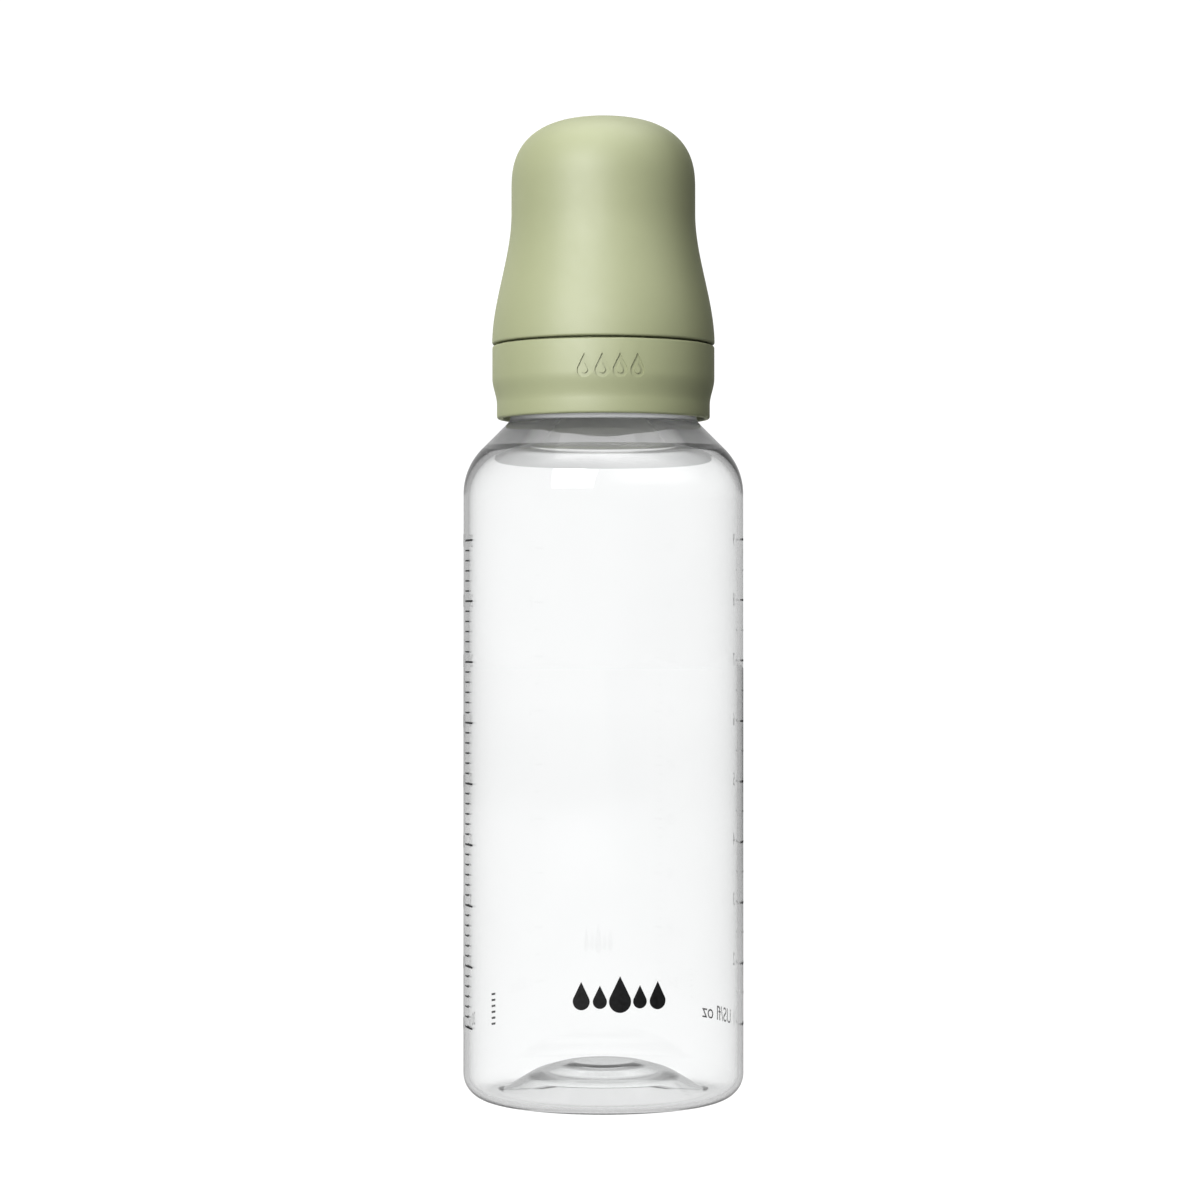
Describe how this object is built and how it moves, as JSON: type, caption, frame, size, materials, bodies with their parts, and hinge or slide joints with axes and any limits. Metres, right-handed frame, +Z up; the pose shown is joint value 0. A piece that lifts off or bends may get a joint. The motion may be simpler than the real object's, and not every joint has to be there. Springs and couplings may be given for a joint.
{
  "type": "baby bottle",
  "caption": "Tall round clear baby bottle with a screw neck, a silicone teat with a round tip, a screw collar, and a waisted dome cap that pushes on over the teat.",
  "frame": {"origin": "centre of the bottle's standing ring, on the surface it stands on", "axes": "+Z up the bottle's axis, -Y towards the viewer, with the millilitre scale on the -X side"},
  "size_m": [0.0578, 0.0578, 0.2018],
  "materials": {
    "bottle": "clear blow-moulded plastic, glossy inside and out",
    "teat": "clear, slightly milky silicone",
    "collar": "matte sage green moulded plastic",
    "dome_cap": "matte sage green moulded plastic"
  },
  "bodies": {
    "bottle": {"bottle": "bottle"},
    "teat": {"teat": "teat"},
    "collar": {"collar": "collar"},
    "dome_cap": {"dome_cap": "dome_cap"}
  },
  "joints": [
    {"name": "teat_lift", "type": "slide", "parent": "bottle", "child": "teat", "axis": [0, 0, 1], "range_m": [0, 0.0126]},
    {"name": "collar_turn", "type": "hinge", "parent": "teat", "child": "collar", "pos_m": [0, 0, 0.13966], "axis": [0, 0, 1], "range_deg": [0, 900]},
    {"name": "cap_pull", "type": "slide", "parent": "collar", "child": "dome_cap", "axis": [0, 0, 1], "range_m": [0, 0.06]}
  ],
  "couplings": [
    {"joint": "teat_lift", "follows": "collar_turn", "m_per_rad": 0.00079577}
  ]
}
